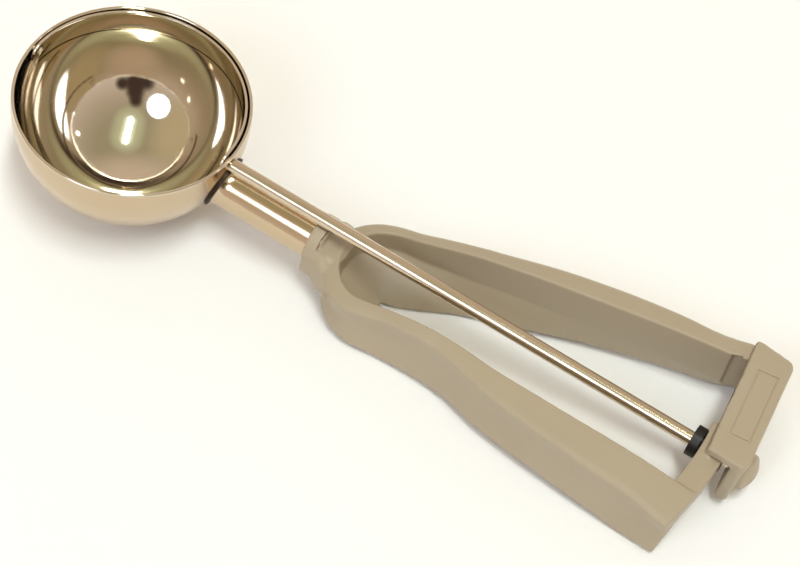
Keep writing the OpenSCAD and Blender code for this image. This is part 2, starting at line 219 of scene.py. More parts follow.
def drill(piece, radius, x_from, x_to):
    """Cuts a round hole along the rod's axis through a piece, in tool mm."""
    verts = []
    steps = 48
    for x in (x_from, x_to):
        for k in range(steps):
            angle = 2 * math.pi * k / steps
            verts.append((x, radius * math.cos(angle), radius * math.sin(angle)))
    faces = [(k, (k + 1) % steps, steps + (k + 1) % steps, steps + k) for k in range(steps)]
    faces += [tuple(reversed(range(steps))), tuple(range(steps, 2 * steps))]
    mesh = bpy.data.meshes.new("drill")
    mesh.from_pydata([to_row @ Vector(v) for v in verts], [], faces)
    face_outward(mesh)
    cut_out(piece, mesh)


def steel_normals(piece, normal_at):
    """Gives a turned sheet its true normals, so that its mirror finish shows no facets. The walls of its
    bores face another way and keep their own."""
    mesh = piece.data
    result = []
    for polygon in mesh.polygons:
        for i in polygon.loop_indices:
            p = to_tool @ mesh.vertices[mesh.loops[i].vertex_index].co
            n = (to_row.to_3x3() @ normal_at(p)).normalized()
            same_way = n.dot(polygon.normal) > 0.5
            result.append(n if same_way else polygon.normal.copy())
    mesh.normals_split_custom_set(result)


def spin_coordinates(piece, along):
    """Stores three values at each point, worked out from its place in the tool's frame, for marks that
    follow the shape. On a turned sheet they are a cosine, a sine and the way along the profile in mm."""
    layer = piece.data.attributes.new("spin", "FLOAT_VECTOR", "POINT")
    values = []
    for vertex in piece.data.vertices:
        values.extend(along(to_tool @ vertex.co))
    layer.data.foreach_set("vector", values)


half = BOWL_WALL / 2
rim_z = BAND_TOP - half  # where the rim's rounding starts


def bowl_normal(p):
    """The way that the sheet faces at a point: the half-sphere, the straight band, then the rounded rim."""
    ring = math.hypot(p.x, p.y)
    if p.z <= 0:
        n = Vector(p)
        inside = p.length < BOWL_R - half
        return -n if inside else n
    if p.z <= rim_z + 0.01:
        n = Vector((p.x, p.y, 0))
        return -n if ring < BOWL_R - half else n
    out = Vector((p.x, p.y, 0)) / ring * (ring - BOWL_R + half)
    return out + Vector((0, 0, p.z - rim_z))


def bowl_spin(p):
    """Round the bowl's axis, and the way from the rim down along the sheet."""
    ring = max(math.hypot(p.x, p.y), 1e-6)
    along = p.z if p.z > 0 else BOWL_R * math.asin(max(-1, p.z / max(p.length, 1e-6)))
    return p.x / ring, p.y / ring, along


# Stainless steel, drawn and polished: a warm mirror, roughness near 0.06, with faint polishing rings 0.3 mm
# apart and wider drifts of haze. The rings are drawn coarser than real grit so that they show.
polished_steel, tree, shader = begin_material("polished_stainless_steel")
spin = add(tree, "ShaderNodeAttribute", attribute_name="spin")
stretch = add(
    tree,
    "ShaderNodeMapping",
    {"Vector": spin.outputs["Vector"], "Scale": (0.6, 0.6, RINGS_PER_MM)},
)
rings = add(
    tree,
    "ShaderNodeTexNoise",
    {"Vector": stretch.outputs[0], "Scale": 1.0, "Detail": 5.0, "Roughness": 0.65},
)
place = add(tree, "ShaderNodeTexCoord")
haze = add(
    tree,
    "ShaderNodeTexNoise",
    {"Vector": place.outputs["Object"], "Scale": HAZE_PER_MM / MM, "Detail": 3.0},
)
both = add(
    tree,
    "ShaderNodeMath",
    {0: rings.outputs["Fac"], 1: 0.6, 2: haze.outputs["Fac"]},
    operation="MULTIPLY_ADD",
)
rough = add(
    tree,
    "ShaderNodeMapRange",
    {"Value": both.outputs[0], "From Min": 0.6, "From Max": 1.1, "To Min": 0.03, "To Max": 0.10},
)
tint = add(
    tree,
    "ShaderNodeMix",
    {"Factor": haze.outputs["Fac"], 6: linear(STEEL), 7: linear(STEEL_DULL)},
    data_type="RGBA",
)
relief = add(
    tree,
    "ShaderNodeBump",
    {"Height": rings.outputs["Fac"], "Strength": 0.10, "Distance": 0.03 * MM},
)
tree.links.new(tint.outputs[2], shader.inputs["Base Color"])
tree.links.new(rough.outputs[0], shader.inputs["Roughness"])
tree.links.new(relief.outputs[0], shader.inputs["Normal"])
shader.inputs["Metallic"].default_value = 1.0

band = [BAND_TOP * i / 6 for i in range(1, 6)]
band = [z for z in band if z < rim_z]
profile = arc(0, 0, BOWL_R, -90, 0, 60)[1:]
profile += [(BOWL_R, z) for z in band]
profile += arc(BOWL_R - half, rim_z, half, 0, 180, 12)
profile += [(BOWL_R - BOWL_WALL, z) for z in reversed(band)]
profile += arc(0, 0, BOWL_R - BOWL_WALL, 0, -90, 60)[:-1]
turns = 240
verts, faces = lathe(profile, turns)
# the profile is open at the pole, so the strip that would close it goes and two fans of triangles come
n = len(profile)
faces = [f for f in faces if f[0] % n != n - 1]
for ring_index, r in ((0, -BOWL_R), (n - 1, BOWL_WALL - BOWL_R)):
    verts.append((0, 0, r))
    pole = len(verts) - 1
    for k in range(turns):
        a, b = k * n + ring_index, (k + 1) % turns * n + ring_index
        faces.append((pole, b, a) if ring_index == 0 else (pole, a, b))
bowl = put("bowl_cup", verts, faces, polished_steel, "frame", replaced=["bowl"])
drill(bowl, ROD_R + RUN_GAP, BORE_FROM, BORE_TO)
drill(bowl, PIN_R + RUN_GAP / 4, -BORE_TO, -BORE_FROM)
steel_normals(bowl, bowl_normal)
spin_coordinates(bowl, bowl_spin)

# Stainless steel, satin: the bowl's outside and the tube are only ground smooth, roughness near 0.16, so
# they mirror the room softly. They look warmer because their base colour is painted warmer and darker than
# the polished steel's, a painted reflection of the warm tan room.
satin_steel_painted_reflection, tree, shader = begin_material("satin_stainless_steel_painted_reflection")
place = add(tree, "ShaderNodeTexCoord")
haze = add(
    tree,
    "ShaderNodeTexNoise",
    {"Vector": place.outputs["Object"], "Scale": SATIN_HAZE_PER_MM / MM, "Detail": 4.0},
)
spin = add(tree, "ShaderNodeAttribute", attribute_name="spin")
stretch = add(
    tree,
    "ShaderNodeMapping",
    {"Vector": spin.outputs["Vector"], "Scale": (0.6, 0.6, RINGS_PER_MM)},
)
rings = add(tree, "ShaderNodeTexNoise", {"Vector": stretch.outputs[0], "Scale": 1.0, "Detail": 5.0})
rough = add(
    tree,
    "ShaderNodeMapRange",
    {"Value": rings.outputs["Fac"], "From Min": 0.3, "From Max": 0.7, "To Min": 0.12, "To Max": 0.20},
)
tint = add(
    tree,
    "ShaderNodeMix",
    {"Factor": haze.outputs["Fac"], 6: linear(SATIN_PAINTED_REFLECTION), 7: linear(SATIN_DULL_PAINTED_REFLECTION)},
    data_type="RGBA",
)
relief = add(
    tree,
    "ShaderNodeBump",
    {"Height": rings.outputs["Fac"], "Strength": 0.10, "Distance": 0.03 * MM},
)
tree.links.new(tint.outputs[2], shader.inputs["Base Color"])
tree.links.new(rough.outputs[0], shader.inputs["Roughness"])
tree.links.new(relief.outputs[0], shader.inputs["Normal"])
shader.inputs["Metallic"].default_value = 1.0
# the bowl's outside takes the satin steel, whose warmer tint is a painted reflection
bowl.data.materials.append(satin_steel_painted_reflection)
for polygon in bowl.data.polygons:
    p = to_tool @ polygon.center
    from_axis = p.length if p.z <= 0 else math.hypot(p.x, p.y)
    outside = from_axis > BOWL_R - 0.3 * BOWL_WALL
    if outside and p.z < rim_z:
        polygon.material_index = 1

# ---------------------------------------------------------------------------------------------------------
# Foot plate. A thin dark plate bent to the bowl, between it and the shank. Only its edge shows, as a seam
# darkened by heat where it is brazed on.
SPOTS_PER_MM = 0.7

# Steel left with its brazing scale: dark brown and dull, in spots about 1.5 mm wide.
dark_steel, tree, shader = begin_material("brazed_dark_steel")
place = add(tree, "ShaderNodeTexCoord")
oxide = add(
    tree,
    "ShaderNodeTexNoise",
    {"Vector": place.outputs["Object"], "Scale": SPOTS_PER_MM / MM, "Detail": 4.0},
)
tint = add(
    tree,
    "ShaderNodeMix",
    {"Factor": oxide.outputs["Fac"], 6: linear("#1c1713"), 7: linear("#4a3b2e")},
    data_type="RGBA",
)
relief = add(
    tree,
    "ShaderNodeBump",
    {"Height": oxide.outputs["Fac"], "Strength": 0.3, "Distance": 0.1 * MM},
)
tree.links.new(tint.outputs[2], shader.inputs["Base Color"])
tree.links.new(relief.outputs[0], shader.inputs["Normal"])
shader.inputs["Metallic"].default_value = 0.8
shader.inputs["Roughness"].default_value = 0.45
nodes["bowl_saddle"].data.materials.clear()
nodes["bowl_saddle"].data.materials.append(dark_steel)

# ---------------------------------------------------------------------------------------------------------
# Shank. A stainless tube, 14 mm across, set on the foot plate with a slightly flared foot and pushed over
# the handle's spigot at its rear. It is ground smooth along its length.
SHANK_R = 7.0
SHANK_WALL = 0.8
SHANK_DROP = 9.5
SADDLE_OUT = 35.8
SHANK_REAR = 69.0
FLARE_OUT = 0.55
FLARE_LENGTH = 2.6


def shank_point(angle, inner, t):
    """Point of the tube at an angle, t from 0 at the foot to 1 at the rear."""
    r = SHANK_R - (SHANK_WALL if inner else 0)
    y, z = r * math.cos(angle), r * math.sin(angle) - SHANK_DROP
    front = math.sqrt(SADDLE_OUT**2 - y * y - z * z)
    x = front + (SHANK_REAR - front) * t
    r += FLARE_OUT * max(0, 1 - (x - front) / FLARE_LENGTH) ** 2
    return x, r * math.cos(angle), r * math.sin(angle) - SHANK_DROP


turns = 128
# shares of the tube's length, close together where the foot flares
stations = [0, 0.01, 0.02, 0.03, 0.045, 0.06, 0.08, 0.12, 0.2, 0.3, 0.4, 0.5, 0.6, 0.7, 0.8, 0.9, 1]
m = len(stations)
verts, faces = [], []
for inner in (False, True):
    for t in stations:
        verts += [shank_point(2 * math.pi * k / turns, inner, t) for k in range(turns)]
for side in range(2):
    for i in range(m - 1):
        for k in range(turns):
            a = (side * m + i) * turns + k
            b = (side * m + i) * turns + (k + 1) % turns
            quad = (a, b, b + turns, a + turns)
            faces.append(quad[::-1] if side else quad)
for i, flip in ((0, True), (m - 1, False)):
    for k in range(turns):
        a, b = i * turns + k, i * turns + (k + 1) % turns
        quad = (a, b, b + m * turns, a + m * turns)
        faces.append(quad[::-1] if flip else quad)
# the tube takes the satin steel too, with its painted reflection tint
shank = put("shank", verts, faces, satin_steel_painted_reflection, "frame", replaced=["shank_tube"])
shank.data.set_sharp_from_angle(angle=math.radians(50))
# the grinding marks are long in x and narrow round the tube
spin_coordinates(shank, lambda p: (0.05 * p.x, 6 * math.atan2(p.y, p.z + SHANK_DROP), 0))

# ---------------------------------------------------------------------------------------------------------
# Front pin. A round-headed rivet of stainless steel through the bowl's front wall, on which the blade turns.
# It is turned from bar and polished like the bowl.
PIN_HEAD_R = 2.3
PIN_HEAD_T = 0.6
PIN_ROUND = 0.5
PIN_CHAMFER = 0.3
PIN_PAST = 0.4
BLADE_IN = 32.8
AXIS_R = 0.01  # a turned profile ends this close to its axis
pin_tip = BOWL_R - BLADE_IN + PIN_PAST + PIN_HEAD_T
profile = [(AXIS_R, 0), (PIN_HEAD_R - PIN_ROUND, 0.02)]
profile += arc(PIN_HEAD_R - PIN_ROUND, PIN_ROUND, PIN_ROUND - 0.02, -90, 0, 6)
# the head's back is let a little into the bowl, so that no gap shows where the wall curves away
profile += [(PIN_HEAD_R - 0.02, PIN_HEAD_T + 0.2), (PIN_R, PIN_HEAD_T + 0.3)]
profile += [(PIN_R, pin_tip - PIN_CHAMFER), (PIN_R - PIN_CHAMFER, pin_tip), (AXIS_R, pin_tip)]
verts, faces = lathe(profile, 48, "X", -BOWL_R - PIN_HEAD_T)
pin = put("front_pin", verts, faces, polished_steel, "frame", replaced=["pivot_pin"])
pin.data.set_sharp_from_angle(angle=math.radians(50))
spin_coordinates(pin, lambda p: (p.y * 0.2, p.z * 0.2, p.x))

# ---------------------------------------------------------------------------------------------------------
# Rod. Drawn stainless wire, 4.3 mm thick, from the front eye of the blade through the bowl's wall and over
# the shank to the boss. Fine draw marks run along it.
ROD_FRONT = 32.4
ROD_END = 206.4
ROD_CHAMFER = 0.3
MARKS_PER_RADIUS = 4.0

# Stainless steel, drawn through a die: fine lines along the wire, so its highlight is drawn out and broken.
# The lines are drawn about 0.5 mm wide, coarser than the real ones, so that they show.
drawn_steel, tree, shader = begin_material("drawn_stainless_steel")
spin = add(tree, "ShaderNodeAttribute", attribute_name="spin")
marks = add(
    tree,
    "ShaderNodeTexNoise",
    {"Vector": spin.outputs["Vector"], "Scale": MARKS_PER_RADIUS, "Detail": 4.0},
)
rough = add(
    tree,
    "ShaderNodeMapRange",
    {"Value": marks.outputs["Fac"], "From Min": 0.3, "From Max": 0.7, "To Min": 0.15, "To Max": 0.25},
)
tint = add(
    tree,
    "ShaderNodeMix",
    {"Factor": marks.outputs["Fac"], 6: linear("#dccfbb"), 7: linear("#cbbca4")},
    data_type="RGBA",
)
relief = add(
    tree,
    "ShaderNodeBump",
    {"Height": marks.outputs["Fac"], "Strength": 0.25, "Distance": 0.04 * MM},
)
tree.links.new(tint.outputs[2], shader.inputs["Base Color"])
tree.links.new(rough.outputs[0], shader.inputs["Roughness"])
tree.links.new(relief.outputs[0], shader.inputs["Normal"])
shader.inputs["Metallic"].default_value = 1.0

profile = [(AXIS_R, 0), (ROD_R - ROD_CHAMFER, 0), (ROD_R, ROD_CHAMFER)]
length = ROD_END - ROD_FRONT
steps = 12
profile += [(ROD_R, length * i / steps) for i in range(1, steps)]
profile += [(ROD_R, length - ROD_CHAMFER), (ROD_R - ROD_CHAMFER, length), (AXIS_R, length)]
verts, faces = lathe(profile, 64, "X", ROD_FRONT)
rod = put("drive_rod", verts, faces, drawn_steel, "sweeper", replaced=["rod"])
rod.data.set_sharp_from_angle(angle=math.radians(40))


def rod_spin(p):
    """Slow along the rod and round its axis, so that the marks run lengthwise."""
    angle = math.atan2(p.y, p.z)
    return 0.02 * p.x, math.cos(angle), math.sin(angle)


spin_coordinates(rod, rod_spin)

# ---------------------------------------------------------------------------------------------------------
# Scraper blade. A half ring of thin spring steel that follows the bowl's inside, with a round eye at each
# end: the front eye on the pin, the rear one fixed to the rod. Its edges are rounded by tumbling.
BLADE_OUT = 33.6
BLADE_W = 8.0
BLADE_EDGE = 0.12
BLADE_REST = math.radians(1.5)  # it rests turned this far down on the far side
EYE_STEPS = 16
ROUND_STEPS = 120


def blade_rows():
    """Rows across the strip, from the front eye's tip round to the rear eye's, as (angle, half width)."""
    eye = math.degrees(math.asin(BLADE_W / 2 / BLADE_OUT))
    rows = []
    for i in range(EYE_STEPS + 1):
        a = -eye + eye * i / EYE_STEPS
        w = math.sqrt(max(0.0, 1 - (a / eye) ** 2)) * BLADE_W / 2
        rows.append((a, max(w, 0.05)))
    rows += [(180 * i / ROUND_STEPS, BLADE_W / 2) for i in range(1, ROUND_STEPS)]
    rows += [(180 - a, w) for a, w in reversed(rows[: EYE_STEPS + 1])]
    return rows


rows = blade_rows()
across = 8
layers = (
    (BLADE_OUT, BLADE_EDGE),
    (BLADE_OUT - BLADE_EDGE, 0),
    (BLADE_IN + BLADE_EDGE, 0),
    (BLADE_IN, BLADE_EDGE),
)
verts, faces = [], []
turn = Matrix.Rotation(-BLADE_REST, 4, "X")
for r, inset in layers:
    for angle, w in rows:
        a = math.radians(angle)
        for k in range(across + 1):
            z = max(w - inset, 0.02) * (2 * k / across - 1)
            ring = math.sqrt(r * r - z * z)
            verts.append(turn @ Vector((-ring * math.cos(a), ring * math.sin(a), z)))
count = len(rows) * (across + 1)
for i in range(len(rows) - 1):
    for k in range(across):
        a = i * (across + 1) + k
        b = a + across + 1
        faces.append((a, a + 1, b + 1, b))
        faces.append(tuple(3 * count + v for v in (b, b + 1, a + 1, a)))
# the strip's outline, along which the four layers are joined
loop = [i * (across + 1) for i in range(len(rows))]
loop += [(len(rows) - 1) * (across + 1) + k for k in range(1, across + 1)]
loop += [i * (across + 1) + across for i in range(len(rows) - 2, -1, -1)]
loop += list(range(across - 1, 0, -1))
for k in range(len(layers) - 1):
    over, under = k * count, (k + 1) * count
    for i, a in enumerate(loop):
        b = loop[(i + 1) % len(loop)]
        faces.append((over + a, over + b, under + b, under + a))
blade = put("blade", verts, faces, polished_steel, "sweeper", replaced=["scraper_blade"])
face_outward(blade.data)
drill(blade, ROD_R, BORE_FROM, BORE_TO)
drill(blade, PIN_R + RUN_GAP, -BORE_TO, -BORE_FROM)
blade.data.set_sharp_from_angle(angle=math.radians(50))
spin_coordinates(blade, lambda p: (0.1 * p.x, 0.1 * p.y, p.z))

# ---------------------------------------------------------------------------------------------------------
# Pinion. A moulded black acetal gear pressed on the rod, with a flange disc in front that keeps the rack
# in line. Only the flange and the first edge of the teeth show.
ACETAL_GRAINS_PER_MM = 1.5

# Acetal, moulded and left as it comes from the mould: near black, with a soft sheen.
black_plastic, tree, shader = begin_material("moulded_black_acetal")
place = add(tree, "ShaderNodeTexCoord")
grain = add(
    tree,
    "ShaderNodeTexNoise",
    {"Vector": place.outputs["Object"], "Scale": ACETAL_GRAINS_PER_MM / MM, "Detail": 3.0},
)
tint = add(
    tree,
    "ShaderNodeMix",
    {"Factor": grain.outputs["Fac"], 6: linear("#0a0807"), 7: linear("#18130f")},
    data_type="RGBA",
)
relief = add(
    tree,
    "ShaderNodeBump",
    {"Height": grain.outputs["Fac"], "Strength": 0.15, "Distance": 0.05 * MM},
)
tree.links.new(tint.outputs[2], shader.inputs["Base Color"])
tree.links.new(relief.outputs[0], shader.inputs["Normal"])
shader.inputs["Roughness"].default_value = 0.45
pinion = nodes["pinion"]
pinion.data.materials.clear()
pinion.data.materials.append(black_plastic)
soft = pinion.modifiers.new("moulded_edge", "BEVEL")
soft.width = 0.25 * MM
soft.segments = 2
soft.limit_method = "ANGLE"
soft.angle_limit = math.radians(50)

# ---------------------------------------------------------------------------------------------------------
# Handle. One warm grey moulding: collar, U-bend, two arms with a finger groove, and the rear yoke with its
# boss. The bend is the spring of the squeeze. Moulded edges are soft, and the surface has a fine
# spark-eroded grain.
GRAINS_PER_MM = 1.8
DRIFTS_PER_MM = 0.035

# Polypropylene, moulded in a spark-eroded mould: a warm grey with a dull sheen, roughness near 0.48. The
# grain is drawn about 0.5 mm wide, coarser than the real one, so that it shows.
grey_plastic, tree, shader = begin_material("moulded_grey_polypropylene")
place = add(tree, "ShaderNodeTexCoord")
grain = add(
    tree,
    "ShaderNodeTexNoise",
    {"Vector": place.outputs["Object"], "Scale": GRAINS_PER_MM / MM, "Detail": 3.0},
)
drift = add(
    tree,
    "ShaderNodeTexNoise",
    {"Vector": place.outputs["Object"], "Scale": DRIFTS_PER_MM / MM, "Detail": 4.0},
)
tint = add(
    tree,
    "ShaderNodeMix",
    {"Factor": drift.outputs["Fac"], 6: linear("#a79a84"), 7: linear("#afa28b")},
    data_type="RGBA",
)
rough = add(
    tree,
    "ShaderNodeMapRange",
    {"Value": drift.outputs["Fac"], "From Min": 0.3, "From Max": 0.7, "To Min": 0.42, "To Max": 0.54},
)
relief = add(
    tree,
    "ShaderNodeBump",
    {"Height": grain.outputs["Fac"], "Strength": 0.25, "Distance": 0.1 * MM},
)
tree.links.new(tint.outputs[2], shader.inputs["Base Color"])
tree.links.new(rough.outputs[0], shader.inputs["Roughness"])
tree.links.new(relief.outputs[0], shader.inputs["Normal"])

# The arms are drawn in the table's frame, in mm: x' along the table from under the bowl's centre, z' up
# from the table.
table_to_row = Matrix.Translation((BOWL_X, 0, 0)) @ Matrix.Scale(MM, 4)
BEND_X = 87.0
BEND_R = 13.0
BEND_MID = 4.0
EDGE_R = 0.9
GROOVE = 1.7
CROWN = 1.5
VOXEL = 0.35
RELAX_PASSES = 7

# Sizes along the arms, as (x', mm): heights of the top, the foot and the fold inside, the inner edges, the
# reach of the web below the fold, and the thicknesses
TOP = ((68, 19.4), (84, 18.8), (98, 21.3), (112, 23.2), (160, 23.0), (180, 22.2), (200, 20.3))
FOOT = ((60, 6.2), (78, 2.4), (90, 0.6), (106, 0.7), (130, 1.8), (150, 2.2), (170, 1.4), (182, 0), (200, 0))
FOLD = ((74, 11.5), (110, 11.2), (128, 10.8), (150, 10.2), (170, 9.2), (185, 8.2))
FAR_IN = ((87, 0), (103, 1.5), (128, 4.9), (158, 8.5), (183, 11.4), (190, 12.4))
NEAR_IN = ((87, 0), (104, 0.5), (120, 1.7), (132, 3.5), (155, 5.3), (190, 7.4), (200, 7.9))
WEB = (
    (74, 12),
    (86, 12.6),
    (95, 10),
    (107, 6.1),
    (125, 3.7),
    (142, 1),
    (163, -1.5),
    (179, -3.4),
    (188, -5.4),
)
FAR_T = ((68, 5.8), (84, 5), (96, 5.5), (112, 5.8), (132, 7.5), (150, 8.2), (166, 7.9), (180, 7), (190, 8.1))
NEAR_T = (
    (68, 5.8),
    (84, 5.2),
    (96, 4.3),
    (114, 4.7),
    (131, 7.5),
    (150, 9.8),
    (170, 11.3),
    (190, 12.1),
    (200, 12.1),
)
THUMB_LIP = ((180, 0), (190, 1), (200, 2.1))


def curve(points, x):
    """A smooth curve through the points, level beyond its ends."""
    last = len(points) - 1

    def slope(i):
        if i in (0, last):
            return 0
        return (points[i + 1][1] - points[i - 1][1]) / (points[i + 1][0] - points[i - 1][0])

    i = max([0] + [k for k in range(last) if points[k][0] <= x])
    w = points[i + 1][0] - points[i][0]
    t = min(1, max(0, (x - points[i][0]) / w))
    return (
        (2 * t**3 - 3 * t**2 + 1) * points[i][1]
        + (t**3 - 2 * t**2 + t) * w * slope(i)
        + (3 * t**2 - 2 * t**3) * points[i + 1][1]
        + (t**3 - t**2) * w * slope(i + 1)
    )


def section(x, t, lip=0.0, turn=0.0):
    """One cross-section of an arm as (outward from its inner top edge, height)."""
    top, low, web, e = curve(TOP, x), max(0, curve(FOOT, x)), curve(WEB, x), EDGE_R
    mid = (top + low) / 2
    web_low = max(0, curve(FOOT, x + (web + BEND_MID) * turn))
    fold = min(curve(FOLD, x), top - 1.5 * e)
    return [
        (0, top - e / 2),
        (e / 2, top),
        (t + lip - 2 * e, top - CROWN * 0.6),
        (t + lip - 0.4 * e, top - CROWN - 0.6 * e),
        (t - GROOVE, mid + 1),
        (t - GROOVE, mid - 1),
        (t - 0.3 * e, low + 1.5 * e),
        (t - 1.5 * e, low),
        (min(t - 2 * e, e / 2 - web), web_low),
        (min(t - 1.5 * e, -web), web_low + e / 2),
        (0, fold),
    ]


def arm_ring(x, inner, thick, side, lip=()):
    """One section of an arm, in table mm. Side is -1 for the near arm and 1 for the far one."""
    points = section(x, curve(thick, x), curve(lip, x) if lip else 0)
    return [(x, side * (BEND_R + curve(inner, x) + out), z) for out, z in points]


def bend_ring(angle):
    """One section round the bend; its thickness goes over from the near arm's to the far arm's."""
    c, s = math.cos(angle), math.sin(angle)
    x = BEND_X - (BEND_R + BEND_MID) * c
    share = 0.5 + angle / math.pi
    t = curve(NEAR_T, x) * (1 - share) + curve(FAR_T, x) * share
    return [(BEND_X - (BEND_R + out) * c, (BEND_R + out) * s, z) for out, z in section(x, t, 0, c)]


def loft(rings):
    """The closed shell through a row of rings of points, each with as many."""
    bm = bmesh.new()
    made = [[bm.verts.new(p) for p in ring] for ring in rings]
    for one, two in zip(made, made[1:]):
        for i in range(len(one)):
            j = (i + 1) % len(one)
            bm.faces.new((one[i], one[j], two[j], two[i]))
    bm.faces.new(made[0][::-1])
    bm.faces.new(made[-1])
    bmesh.ops.recalc_face_normals(bm, faces=bm.faces)
    return bm


def trim(bm, at, away, frame=to_row):
    """Cuts off what lies beyond a plane through a point, on the side that it faces, and closes the cut."""
    normal = (frame.to_3x3() @ Vector(away)).normalized()
    geometry = list(bm.verts) + list(bm.edges) + list(bm.faces)
    bmesh.ops.bisect_plane(
        bm, geom=geometry, dist=1e-7, plane_co=frame @ Vector(at), plane_no=normal, clear_outer=True
    )
    rim = [edge for edge in bm.edges if edge.is_boundary]
    bmesh.ops.holes_fill(bm, edges=rim, sides=0)


def cad_copy(name):
    """The closed shell of one CAD node."""
    bm = bmesh.new()
    bm.from_mesh(nodes[name].data)
    bmesh.ops.remove_doubles(bm, verts=bm.verts, dist=1e-6)
    return bm


def moulded(name, shells, replaced):
    """Joins closed shells into one moulding with soft edges and fillets, by voxels and a light smoothing."""
    mesh = bpy.data.meshes.new(name)
    bm = bmesh.new()
    for shell in shells:
        shell.to_mesh(mesh)
        bm.from_mesh(mesh)
        shell.free()
    bm.to_mesh(mesh)
    bm.free()
    piece = bpy.data.objects.new(name, mesh)
    scene.collection.objects.link(piece)
    voxels = piece.modifiers.new("voxels", "REMESH")
    voxels.mode = "VOXEL"
    voxels.voxel_size = VOXEL * MM
    relax = piece.modifiers.new("relax", "SMOOTH")
    relax.factor = 0.5
    relax.iterations = RELAX_PASSES
    apply_modifiers(piece)
    piece.data.materials.clear()
    piece.data.materials.append(grey_plastic)
    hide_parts(*replaced)
    return piece


# In the tool's frame: the hinge of the squeeze, and the crossbar, the arm's rear end and the yoke.
HINGE = (94.0, -8.0, 0.0)
BAR_REAR = 105.0
BAR_FRONT = 97.9
BAR_TOP = 9.1
BAR_BOTTOM = 4.75
BAR_ROOT = -26.0
BAR_TIP = 2.8
ARM_REACH = 102.5
ARM_LEAN = math.radians(8)
YOKE_TURN = math.radians(6.5)
YOKE_X = 199.2
YOKE_W = 12.3
YOKE_OVERLAP = 1.6
FAR_END_FROM = 173.0

rings = [arm_ring(x, NEAR_IN, NEAR_T, -1, THUMB_LIP) for x in range(200, 87, -1)]
rings += [bend_ring(math.radians(a)) for a in range(-90, 91, 3)]
rings += [arm_ring(x, FAR_IN, FAR_T, 1) for x in range(88, 179)]
arms = loft([[table_to_row @ Vector(p) for p in ring] for ring in rings])
trim(
    arms,
    (HINGE[0] + ARM_REACH, HINGE[1], 0),
    (math.cos(ARM_LEAN), 0, -math.sin(ARM_LEAN)),
)
# the near arm's rear end is rounded about the hinge, by five flat cuts
for degrees in (-6, -8, -10, -12, -14):
    away = (math.cos(math.radians(degrees)), math.sin(math.radians(degrees)), 0)
    trim(arms, [HINGE[i] + BAR_REAR * away[i] for i in range(3)], away)

# The crossbar is an arc about the hinge, from inside the near arm to its tip past the rod.
plan = []
steps = 24
for r, ends in ((BAR_REAR, (BAR_ROOT, BAR_TIP)), (BAR_FRONT, (BAR_TIP, BAR_ROOT))):
    start, end = (math.asin((y - HINGE[1]) / r) for y in ends)
    for i in range(steps + 1):
        a = start + (end - start) * i / steps
        plan.append((HINGE[0] + r * math.cos(a), HINGE[1] + r * math.sin(a)))
bar = loft([[to_row @ Vector((x, y, z)) for x, y in plan] for z in (BAR_BOTTOM, BAR_TOP)])

# The collar ends inside the bend, and its far upper corner is cut off by a slanting plane.
COLLAR_END = 73.5
CORNER_AT = (69, 0.8, 0.8)
CORNER_WAY = (0.44, 1, 1)
collar = cad_copy("handle_frame")
trim(collar, (COLLAR_END, 0, 0), (1, 0, 0), table_to_row)
trim(collar, CORNER_AT, CORNER_WAY)

# Behind its flare the collar runs on into the near side of the bend, as (x, reach to the near side, and how
# far its top and foot are below the rod). On the far side it stays inside the collar and the bend.
COLLAR_ROWS = ((69.4, 8.6, 6.4, 19.9), (72.2, 10.4, 6.7, 20.0), (76.5, 11.9, 7.5, 20.4))
COLLAR_FAR = 7.5
COLLAR_TOP_R = 3.0
COLLAR_FOOT_R = 4.5
rings = []
for x, near, top, low in COLLAR_ROWS:
    foot_z, top_z = COLLAR_FOOT_R - low, -top - COLLAR_TOP_R
    outline = arc(COLLAR_FAR - COLLAR_FOOT_R, foot_z, COLLAR_FOOT_R, -90, 0, 8)
    outline += arc(COLLAR_FAR - COLLAR_TOP_R, top_z, COLLAR_TOP_R, 0, 90, 8)
    outline += arc(COLLAR_TOP_R - near, top_z, COLLAR_TOP_R, 90, 180, 8)
    outline += arc(COLLAR_FOOT_R - near, foot_z, COLLAR_FOOT_R, 180, 270, 8)
    rings.append([to_row @ Vector((x, y, z)) for y, z in outline])
flare = loft(rings)

# The far arm's rear end comes from the CAD, up to just inside the yoke's front face.
front = (YOKE_X - YOKE_W / 2 * math.cos(YOKE_TURN), -YOKE_W / 2 * math.sin(YOKE_TURN), 0)
rearward = (math.cos(YOKE_TURN), math.sin(YOKE_TURN), 0)
far_end = cad_copy("handle_frame")
trim(far_end, (FAR_END_FROM, 0, 0), (-1, 0, 0), table_to_row)
trim(far_end, [front[i] + YOKE_OVERLAP * rearward[i] for i in range(3)], rearward)

skin = moulded("handle_skin", [arms, bar, collar, flare, far_end], ["lever_arm"])
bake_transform(skin)

# ---------------------------------------------------------------------------------------------------------
# Rear yoke. The same moulding as the handle: the top plate with its bare sunk frame, the back wall, the
# post at its far end and the domed boss that holds the rod. It stays with the frame when the arm moves.
PANEL_L = 23.8
PANEL_W = 6.2
PANEL_LINE = 0.5
PANEL_DEPTH = 0.25
PANEL_FROM = -0.4
PANEL_SHIFT = 0.5
PLATE_TOP = 12.5

yoke_shell = cad_copy("handle_frame")
trim(yoke_shell, front, [-v for v in rearward])
yoke = moulded("rear_yoke", [yoke_shell], ["handle_frame"])
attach(yoke, "frame")


def panel_corners(inset):
    """The corners of the sunk frame, this far inside its outer edge, as (across, along) the yoke."""
    u0, v0 = PANEL_SHIFT - PANEL_W / 2 + inset, PANEL_FROM + inset
    u1, v1 = u0 + PANEL_W - 2 * inset, v0 + PANEL_L - 2 * inset
    return [(u0, v0), (u1, v0), (u1, v1), (u0, v1)]


